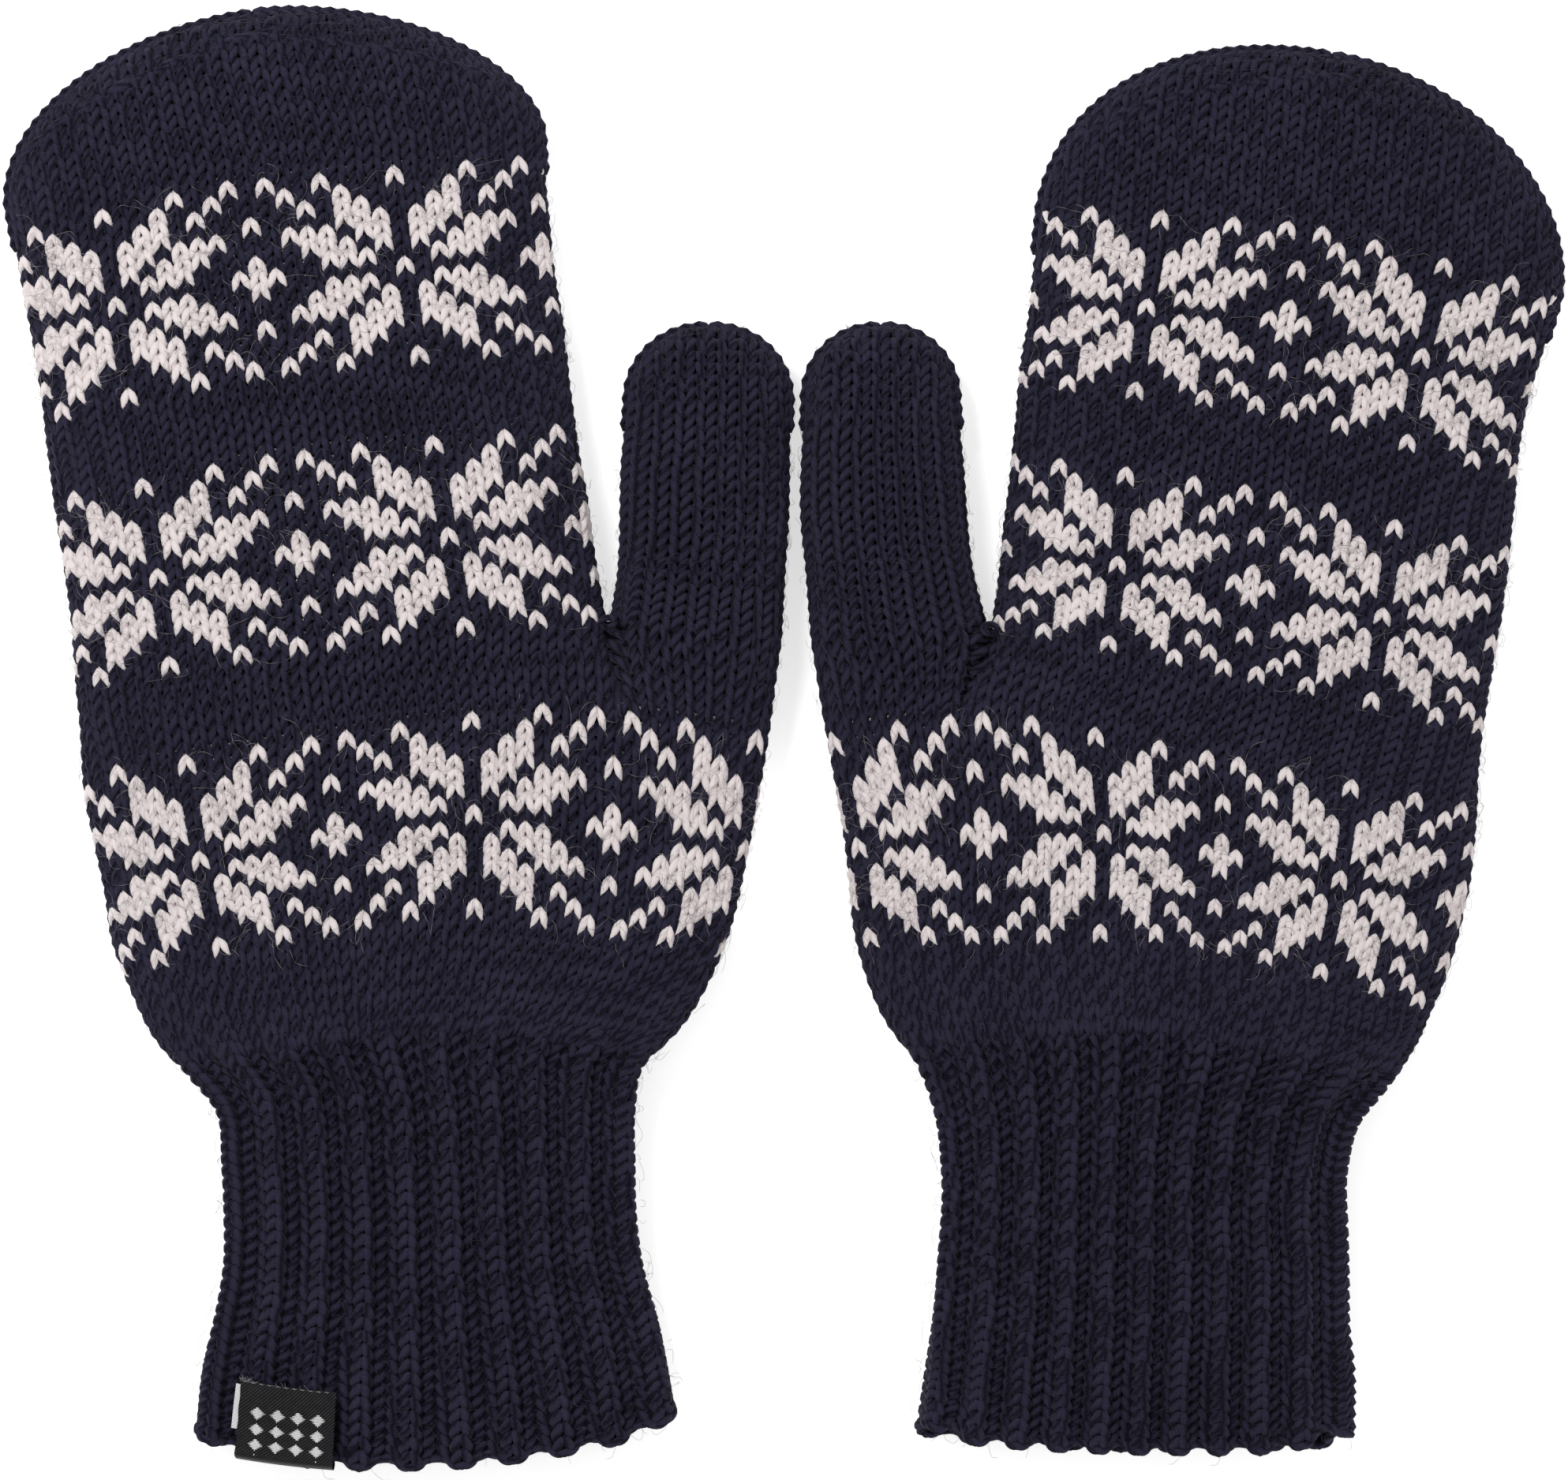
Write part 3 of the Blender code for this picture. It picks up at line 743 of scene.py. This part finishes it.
def ground_mesh(tube, low, high, ribbed):
    """Corners, faces and coordinates of the smooth layer that fills the gaps between a tube's loops."""
    rows = np.arange(low, high + 0.01, GROUND_STEP)
    share = np.arange(COLUMNS)[None, :] / COLUMNS + 0 * rows[:, None]
    row = rows[:, None] + 0 * share
    level = np.full(share.shape, GROUND_LIFT)
    at = row
    if ribbed:
        wave = rib_wave(tube, share, row)
        level = level + wave + GROUND_FILL * smoothstep(-wave / RIB_RISE)
        at = row - hem_wave(tube, share, row)
    points, _ = tube.at_share(tube.gathered(share, row), at, level)
    high_count, wide_count = share.shape
    i = np.arange(high_count - 1)[:, None]
    k = np.arange(wide_count)[None, :]
    beside = (k + 1) % wide_count
    quads = [i * wide_count + k, i * wide_count + beside]
    quads += [(i + 1) * wide_count + beside, (i + 1) * wide_count + k]
    faces = np.stack(quads, axis=-1).reshape(-1, 4)
    flat = np.stack([share * 60, row * ROW_MM], axis=-1).reshape(-1, 2)
    return points.reshape(-1, 3), faces, flat[faces.ravel()]


def add(name, mesh, material, mirrored):
    """Adds a piece modelled in millimetres, as a left mitten's, to the scene."""
    corners, faces, coordinates = mesh
    corners = np.column_stack([corners[:, :2], np.maximum(corners[:, 2], ON_TABLE)]) * MM
    if mirrored:
        corners = corners * (-1, 1, 1)
        faces = faces[:, ::-1]
        coordinates = coordinates.reshape(-1, 4, 2)[:, ::-1].reshape(-1, 2) * (1, -1)
    data = bpy.data.meshes.new(name)
    data.vertices.add(len(corners))
    data.vertices.foreach_set("co", corners.astype(np.float32).ravel())
    data.loops.add(faces.size)
    data.loops.foreach_set("vertex_index", faces.astype(np.int32).ravel())
    data.polygons.add(len(faces))
    data.polygons.foreach_set("loop_start", np.arange(0, faces.size, 4, dtype=np.int32))
    layer = data.uv_layers.new(name="Yarn")
    layer.data.foreach_set("uv", coordinates.astype(np.float32).ravel())
    data.update(calc_edges=True)
    data.validate()
    data.shade_smooth()
    data.materials.append(material)
    piece = bpy.data.objects.new(name, data)
    bpy.context.scene.collection.objects.link(piece)
    return piece


class Nodes:
    """A material's node tree, built one node at a time."""

    def __init__(self, name):
        self.material = bpy.data.materials.new(name)
        self.material.use_nodes = True
        self.tree = self.material.node_tree
        self.shader = self.tree.nodes["Principled BSDF"]

    def add(self, kind, inputs=(), **settings):
        made = self.tree.nodes.new("ShaderNode" + kind)
        for key, value in settings.items():
            setattr(made, key, value)
        for slot, value in inputs:
            self.put(made, slot, value)
        return made

    def put(self, made, slot, value):
        if isinstance(value, bpy.types.NodeSocket):
            self.tree.links.new(value, made.inputs[slot])
        else:
            made.inputs[slot].default_value = value

    def math(self, operation, *values):
        return self.add("Math", list(enumerate(values)), operation=operation).outputs[0]

    def mix(self, *parts):
        """The sum of these values, each times its weight."""
        total = self.math("MULTIPLY", *parts[0])
        for part in parts[1:]:
            total = self.math("ADD", total, self.math("MULTIPLY", *part))
        return total

    def shade(self, *inputs):
        """Sets the shader's inputs, and gives the material."""
        for slot, value in inputs:
            self.put(self.shader, slot, value)
        return self.material

    def noise(self, at, scale, detail):
        inputs = [("Vector", at), ("Scale", scale), ("Detail", detail)]
        return self.add("TexNoise", inputs).outputs[0]

    def ramp(self, value, stops):
        made = self.add("ValToRGB", [(0, value)])
        band = made.color_ramp
        while len(band.elements) < len(stops):
            band.elements.new(0.5)
        for element, (place, colour) in zip(band.elements, stops):
            element.position = place
            element.color = (*colour, 1)
        return made.outputs[0]


def wool(name, painted_groove_shade, body, painted_crest_highlight, sheen):
    """Two-ply wool: painted shade between its plies, and a painted highlight on their crests and where
    loose fibres catch the light.
    """
    nodes = Nodes(name)
    parts = nodes.add("SeparateXYZ", [(0, nodes.add("UVMap", uv_map="Yarn").outputs[0])])
    along, around = parts.outputs[0], parts.outputs[1]
    turn = nodes.math("ADD", nodes.math("MULTIPLY", around, 2.0), nodes.math("DIVIDE", along, 3.6))
    ply = nodes.math("ABSOLUTE", nodes.math("SINE", nodes.math("MULTIPLY", turn, math.pi)))
    at = nodes.add("CombineXYZ", [(0, nodes.math("MULTIPLY", along, 0.5)), (1, turn)]).outputs[0]
    fibres = nodes.noise(at, 7.0, 4.0)
    place = nodes.add("TexCoord").outputs["Object"]
    fuzz = nodes.noise(place, 2600.0, 3.0)
    cloud = nodes.noise(place, 95.0, 2.0)
    # The ply's rise and fall paints shade into the grooves between the plies and a highlight on their
    # crests; the noises add fibre streaks and the wool's own random tone.
    rounded = nodes.math("POWER", ply, 0.6)
    tone = nodes.mix((rounded, 0.45), (fibres, 0.4), (fuzz, 0.3), (cloud, 0.2))
    colour = nodes.ramp(tone, ((0.25, painted_groove_shade), (0.65, body), (0.95, painted_crest_highlight)))
    height = nodes.mix((nodes.math("POWER", ply, 0.7), 0.6), (fibres, 0.5), (fuzz, 0.5))
    bump = nodes.add("Bump", [("Strength", 0.8), ("Distance", 0.00022), ("Height", height)])
    return nodes.shade(
        ("Base Color", colour),
        ("Roughness", 0.95),
        ("Normal", bump.outputs[0]),
        ("Specular IOR Level", 0.15),
        ("Sheen Weight", sheen),
        ("Sheen Roughness", 0.45),
    )


def satin(name, ground, line, roughness):
    """Woven ribbon: fine slanting lines over its ground, and the weave's small relief."""
    nodes = Nodes(name)
    parts = nodes.add("SeparateXYZ", [(0, nodes.add("UVMap", uv_map="Yarn").outputs[0])])
    x, y = parts.outputs[0], parts.outputs[1]
    slant = nodes.mix((x, 1.5), (y, 1.3))
    twill = nodes.math("SINE", nodes.math("MULTIPLY", slant, math.pi))
    twill = nodes.math("POWER", nodes.math("ABSOLUTE", twill), 3.0)
    picks = nodes.math("SINE", nodes.math("MULTIPLY", y, math.pi / LABEL_PICK))
    picks = nodes.math("ABSOLUTE", picks)
    worn = nodes.noise(nodes.add("TexCoord").outputs["Object"], 900.0, 4.0)
    tone = nodes.math("MULTIPLY", twill, nodes.math("ADD", nodes.math("MULTIPLY", worn, 0.9), 0.2))
    colour = nodes.ramp(tone, ((0.1, ground), (0.9, line)))
    height = nodes.mix((twill, 0.6), (picks, 0.5))
    bump = nodes.add("Bump", [("Strength", 0.6), ("Distance", 0.0001), ("Height", height)])
    return nodes.shade(
        ("Base Color", colour),
        ("Roughness", roughness),
        ("Normal", bump.outputs[0]),
        ("Specular IOR Level", 0.12),
    )


# Each wool's first colour is painted shade between the plies, its second the yarn's own colour, and its
# third a painted highlight on the plies' crests.
NAVY = wool("navy wool", (0.0014, 0.0013, 0.0038), (0.0064, 0.0058, 0.0148), (0.028, 0.0255, 0.05), 0.05)
NAVY_FIBRE = wool("navy fibre", (0.03, 0.03, 0.05), (0.05, 0.05, 0.08), (0.09, 0.09, 0.13), 0.0)
PALE_FIBRE = wool("pale fibre", (0.2, 0.19, 0.2), (0.36, 0.33, 0.34), (0.5, 0.47, 0.48), 0.0)
PALE = wool("pale wool", (0.42, 0.36, 0.355), (0.76, 0.68, 0.68), (0.84, 0.77, 0.765), 0.1)
# The layer between the loops stands for the navy yarn and matted fibres behind them; its colours, darker
# than the navy wool's, are painted shade in the gaps.
PAINTED_SHADE_GROUND = wool("navy ground painted shade", (0.0015, 0.0014, 0.004), (0.0045, 0.0042, 0.0105), (0.011, 0.01, 0.022), 0.0)
SATIN = satin("black satin", (0.002, 0.002, 0.0025), (0.042, 0.042, 0.046), 0.5)
SILVER = satin("silver thread", (0.62, 0.61, 0.62), (0.8, 0.79, 0.8), 0.5)
EDGING = satin("grey thread", (0.1, 0.1, 0.11), (0.45, 0.44, 0.45), 0.6)


def settle(piece, nodes, slot, body, other=None, start=None, end=None):
    """Attaches a piece to its body, or, given a second body, only bakes its transform into its mesh; and
    hides the CAD nodes that it stands for.
    """
    if other:
        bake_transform(piece)
    else:
        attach(piece, body)
    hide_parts(*nodes)


JOINTS = {joint["name"]: joint for joint in frame["joints"]}


def fold_reach(side, joint, before, after):
    """Where fabric starts and ends its turn about a fold's axis, in metres either side of it."""
    found = JOINTS[f"{side}_{joint}"]
    at = np.array(found["pos_m"])
    axis = np.array(found["axis"])
    ahead = np.cross((0, 0, 1), axis)
    ahead = ahead * np.sign(ahead[1])
    return tuple(at + ahead * before), tuple(at + ahead * after)


def band_face(start, count):
    """A star band's rows, and where its pale yarn is on the face."""
    face = [in_star(np.arange(count), row - BAND_ROWS // 2) for row in range(BAND_ROWS)]
    return list(range(start, start + BAND_ROWS)), np.array(face)


def mitten(side, outline):
    """Adds one mitten's pieces, and gives the tube of its body."""
    mirrored = side == "right"
    gather = outline["gather"]
    hand = Tube(outline["hand"], HAND_STITCHES, outline["tip"], outline["top"], gather[-2:])
    body, thumb = body_tube(outline, hand)
    bend = (f"{side}_fingers_part", *fold_reach(side, "knuckle_fold", -0.020, 0.020))
    wrist_bend = (f"{side}_cuff_part", *fold_reach(side, "wrist_fold", 0.017, -0.020))
    thumb_bend = (f"{side}_thumb_part", *fold_reach(side, "thumb_fold", 0.0, 0.018))

    def put(name, mesh, material, node, slot, *fold):
        made = add(f"{side}_{name}", mesh, material, mirrored)
        settle(made, [f"{side}_{node}"], slot, f"{side}_mitten", *fold)

    def navy(name, paths, node, *fold, **shape):
        put(name, yarn_mesh(paths, **shape), NAVY, node, "navy_wool", *fold)

    def band(name, tube, rows, face, node, *fold, seed):
        navy(f"{name}_band_navy", knit(tube, rows, ~face, seed), node, *fold)
        mesh = yarn_mesh(knit(tube, rows, face, seed, STAR_LOOP_REACH), wide=STAR_YARN)
        put(f"{name}_band_stars", mesh, PALE, f"star_band_{name}", "pale_wool", *fold)

    # The ground layer's dark navy is painted shade in the gaps between the loops, over the yarn and
    # matted fibres that it stands for.
    def ground(name, tube, low, high, node, *fold):
        mesh = ground_mesh(tube, low, high, tube is body)
        put(name, mesh, PAINTED_SHADE_GROUND, node, "navy_wool", *fold)

    def fuzz(name, tube, rows, face, number, seed, look, *fold):
        material, node, slot = look
        paths = fibres(tube, places(rows, face, number, seed), seed + 10)
        mesh = yarn_mesh(paths, wide=FIBRE, thick=FIBRE, closed=False, sides=3)
        put(name, mesh, material, node, slot, *fold)

    half_rib = HEM // 2
    navy("rib_upper_courses", rib(body, range(half_rib, RIB_TOP + 1)), "cuff", *wrist_bend)
    navy("rib_lower_courses", rib(body, range(HEM, half_rib)), "cuff", *wrist_bend)
    navy("hem_yarn", hem_yarn(body), "cuff", *wrist_bend, wide=HEM_YARN, thick=HEM_YARN)
    ground("rib_ground", body, HEM, 0, "cuff", *wrist_bend)

    plain = [*range(RIB_TOP, LOWER_BAND), *range(LOWER_BAND + BAND_ROWS, SPLIT)]
    navy("palm_courses", knit(body, plain, seed=1), "palm", *wrist_bend)
    lower, face = band_face(LOWER_BAND, BODY_STITCHES)
    band("lower", body, lower, face, "palm", seed=1)
    ground("palm_ground", body, 0, SPLIT, "palm")
    look = (PALE_FIBRE, "star_band_lower", "pale_wool")
    fuzz("lower_band_fibres", body, lower, face, FIBRES["lower band"], 21, look)
    look = (NAVY_FIBRE, "palm", "navy_wool")
    everywhere = np.ones((SPLIT, BODY_STITCHES), bool)
    fuzz("palm_fibres", body, range(SPLIT), everywhere, FIBRES["palm"], 22, look)
    look = (NAVY_FIBRE, "cuff", "navy_wool")
    everywhere = np.ones((-HEM, BODY_STITCHES), bool)
    fuzz("rib_fibres", body, range(HEM, 0), everywhere, FIBRES["rib"], 23, look, *wrist_bend)

    middle, face = band_face(SPLIT, HAND_STITCHES)
    band("middle", hand, middle, face, "hand", *bend, seed=3)
    plain = range(SPLIT + BAND_ROWS, UPPER_BAND)
    navy("hand_courses", knit(hand, plain, seed=3), "hand", *bend)
    upper, face = band_face(UPPER_BAND, HAND_STITCHES)
    band("upper", hand, upper, face, "fingers", *bend, seed=3)
    plain = range(UPPER_BAND + BAND_ROWS, int(hand.top) + 1)
    navy("tip_courses", knit(hand, plain, seed=3), "fingers", *bend)
    ground("hand_ground", hand, SPLIT, hand.top, "fingers", *bend)
    rim = rim_yarn(hand, RIM_BELOW["hand"])
    navy("tip_edge_stitches", rim, "tip_closing_yarn", *bend, closed=False)
    look = (PALE_FIBRE, "star_band_upper", "pale_wool")
    faces = np.concatenate([face, face])
    fuzz("star_fibres", hand, middle + upper, faces, FIBRES["stars"], 24, look, *bend)
    look = (NAVY_FIBRE, "fingers", "navy_wool")
    rows = range(SPLIT, int(hand.top))
    everywhere = np.ones((len(rows), HAND_STITCHES), bool)
    fuzz("hand_fibres", hand, rows, everywhere, FIBRES["hand"], 25, look, *bend)

    navy("thumb_courses", knit(thumb, range(THUMB_TOP - 1), seed=7), "thumb", *thumb_bend)
    ground("thumb_ground", thumb, 0, thumb.top, "thumb", *thumb_bend)
    rim = rim_yarn(thumb, RIM_BELOW["thumb"])
    navy("thumb_edge_stitches", rim, "thumb_closing_yarn", *thumb_bend, closed=False)
    look = (NAVY_FIBRE, "thumb", "navy_wool")
    everywhere = np.ones((THUMB_TOP, THUMB_STITCHES), bool)
    fuzz("thumb_fibres", thumb, range(THUMB_TOP), everywhere, FIBRES["thumb"], 26, look, *thumb_bend)
    crotch = outline["hand"][0][3:5]
    navy("thumb_join_strand", join_yarn(*crotch), "thumb_join_yarn", closed=False)
    return body


def places(rows, face, number, seed):
    """Stitches and rows picked at random where face is true."""
    row, stitch = np.nonzero(face)
    rows = np.array(list(rows))
    picked = np.random.default_rng(seed).integers(0, len(row), number)
    return np.column_stack([stitch[picked] + 0.5, rows[row[picked]] + 0.5])


class Label:
    """The ribbon folded over the left cuff's hem: where each millimetre of it lies."""

    def __init__(self, tube):
        self.tube = tube
        shares = np.linspace(0.01, 0.4, 200)
        low, _ = tube.at_share(shares, np.full(len(shares), HEM + 2.0), np.zeros(len(shares)))
        self.x = np.array([0.0, LABEL_WIDTH])
        self.shares = np.interp(LABEL_LEFT + self.x, low[:, 0], shares)
        rows = np.linspace(HEM - 2, HEM + 11, 120)
        self.tops = []
        for share, y in zip(self.shares, LABEL_TOP):
            edge, _ = tube.at_share(np.full(len(rows), share), rows, np.zeros(len(rows)))
            self.tops.append(np.interp(y, edge[:, 1], rows))

    def place(self, x, y, lift=0.0):
        """A place on the ribbon, x from its left edge and y down its front from its top edge."""
        share = np.interp(x, self.x, self.shares)
        left, right = self.shares
        share = np.where(x < 0, left + x * (right - left) / LABEL_WIDTH, share)
        top = np.interp(x, self.x, self.tops)
        front = np.clip(y / LABEL_FRONT, None, 1)
        fold = np.clip((y - LABEL_FRONT) / LABEL_TURN, 0, 1)
        back = np.clip(y - LABEL_FRONT - LABEL_TURN, 0, None)
        row = top + (LABEL_HEM - top) * front - 0.5 * np.sin(fold * math.pi) + back / ROW_MM
        level = (LABEL_LIFT + lift) * np.cos(fold * math.pi)
        level = level - LABEL_DIP * (1 + np.cos(TAU * share * RIB_COLUMNS / 2)) * (fold <= 0)
        return self.tube.at_share(share, row, level)


def motif_threads(ribbon):
    """The silver threads of the label's grid of lozenges, one pick after another."""
    threads = []
    cell_wide, cell_high = LOZENGE_CELL
    for y in np.arange(*MOTIF_Y, LABEL_PICK):
        x = np.arange(*MOTIF_X, MOTIF_STEP)
        aside = np.abs((x - MOTIF_X[0]) % cell_wide - cell_wide / 2) / LOZENGE[0]
        shown = aside + abs((y - MOTIF_TOP) % cell_high - cell_high / 2) / LOZENGE[1] < 1
        edges = np.flatnonzero(np.diff(np.r_[0, shown.astype(int), 0]))
        for start, end in zip(edges[::2], edges[1::2]):
            span = np.linspace(x[start] - MOTIF_STEP / 2, x[end - 1] + MOTIF_STEP / 2, 5)
            points, out = ribbon.place(span, np.full(len(span), y), SILVER_LIFT)
            threads.append((points, out, np.ones(len(span))))
    return threads


def sewing_threads(ribbon):
    """The stitches along the label's top edge, and the ends that have frayed from it."""
    threads = []
    low, rise = SEWING_LIFT
    for x in np.arange(*SEWING_RUN, SEWING_PITCH):
        span = np.linspace(x, x + SEWING_STITCH, THREAD_POINTS)
        points, out = ribbon.place(span, SEWING_DROP + 0 * span, low + rise * np.sin((span - x) * 3))
        threads.append((points, out, np.ones(THREAD_POINTS)))
    chance = np.random.default_rng(8)
    for _ in range(FRAYED_ENDS):
        at_corner = chance.uniform() < FRAYED_AT_CORNER[0]
        start = chance.uniform(*(FRAYED_AT_CORNER[1:] if at_corner else (0, LABEL_WIDTH)))
        span = start + np.linspace(0, chance.normal(0, FRAYED_SPREAD), THREAD_POINTS)
        drop = np.linspace(FRAYED_DROP[1], chance.uniform(*FRAYED_DROP), THREAD_POINTS)
        points, out = ribbon.place(span, drop, SILVER_LIFT)
        threads.append((points, out, np.full(THREAD_POINTS, FRAYED_GIRTH)))
    return threads


def label(tube):
    """Adds the woven label: its ribbon, a pale selvedge that shows at its left, and its threads."""
    ribbon = Label(tube)
    x, y = np.meshgrid(np.linspace(0, LABEL_WIDTH, 25), np.linspace(0, LABEL_LENGTH, 70))
    x = x + LABEL_WAVER * np.sin(y * 1.3) * (x / LABEL_WIDTH - 0.5)
    cloth = add("left_label_ribbon", ribbon_mesh(ribbon, x, y), SATIN, False)
    x, y = np.meshgrid(np.linspace(*SELVEDGE, 4), np.linspace(*SELVEDGE_RUN, 12))
    mesh = ribbon_mesh(ribbon, x - SELVEDGE_SLANT * y, y, -0.15)
    under = add("left_label_selvedge", mesh, SILVER, False)
    mesh = yarn_mesh(motif_threads(ribbon), wide=SILVER_WIDE, thick=SILVER_THICK, closed=False)
    motif = add("left_label_motif", mesh, SILVER, False)
    mesh = yarn_mesh(sewing_threads(ribbon), wide=0.1, thick=0.09, closed=False)
    thread = add("left_label_stitches", mesh, EDGING, False)
    for piece, node, slot in (
        (cloth, "left_woven_label", "black_satin"),
        (under, "left_woven_label", "silver_thread"),
        (motif, "left_woven_label", "silver_thread"),
        (thread, "left_label_stitching", "silver_thread"),
    ):
        settle(piece, [node], slot, "left_cuff_part")


def ribbon_mesh(ribbon, x, y, lift=0.0):
    """Corners, faces and millimetre coordinates of a flat patch of the ribbon."""
    points, _ = ribbon.place(x, y, lift)
    high, wide = x.shape
    i, k = np.ogrid[: high - 1, : wide - 1]
    low = i * wide + k
    faces = np.stack([low, low + wide, low + wide + 1, low + 1], axis=-1).reshape(-1, 4)
    flat = np.stack([x, y], axis=-1).reshape(-1, 2)
    return points.reshape(-1, 3), faces, flat[faces.ravel()]


label(mitten("left", LEFT))
mitten("right", RIGHT)


def light(name, place, size, power):
    """A round soft lamp at this place, turned to the middle of the table."""
    data = bpy.data.lights.new(name, "AREA")
    data.shape = "DISK"
    data.size = size
    data.energy = power
    lamp = bpy.data.objects.new(name, data)
    lamp.location = place
    direction = -np.array(place)
    lamp.rotation_euler = (
        math.atan2(math.hypot(direction[0], direction[1]), -direction[2]),
        0,
        math.atan2(direction[1], direction[0]) + math.pi / 2,
    )
    bpy.context.scene.collection.objects.link(lamp)


def studio():
    """The light, the table and the camera, which looks straight down."""
    scene = bpy.context.scene
    scene.view_settings.view_transform = "Standard"
    world = bpy.data.worlds.new("studio")
    world.use_nodes = True
    background = world.node_tree.nodes["Background"]
    background.inputs[0].default_value = (1, 1, 1, 1)
    background.inputs[1].default_value = 0.62
    scene.world = world
    light("key", (-0.7, 0.8, 1.6), 0.7, 36)
    light("fill", (1.1, -0.6, 1.5), 1.2, 8)
    nodes = Nodes("pale table")
    speckle = nodes.noise(nodes.add("TexCoord").outputs["Object"], 60.0, 3.0)
    colour = nodes.ramp(speckle, ((0.3, (0.90, 0.90, 0.90)), (0.7, (0.93, 0.93, 0.93))))
    glow = (("Emission Color", (1, 1, 1, 1)), ("Emission Strength", 0.6))
    material = nodes.shade(("Base Color", colour), ("Roughness", 0.9), *glow)
    half = 1.5
    corners = np.array([(-half, -half, 0), (half, -half, 0), (half, half, 0), (-half, half, 0)]) / MM
    quad = np.array([[0, 1, 2, 3]])
    table = add("table", (corners, quad, np.zeros((4, 2))), material, False)
    table.location.z = -0.0005
    data = bpy.data.cameras.new("camera")
    data.lens = 300
    data.sensor_width = 36
    camera = bpy.data.objects.new("camera", data)
    camera.location = (0, 0.8 * MM, 2.4 + 0.012)
    scene.collection.objects.link(camera)
    scene.camera = camera


studio()
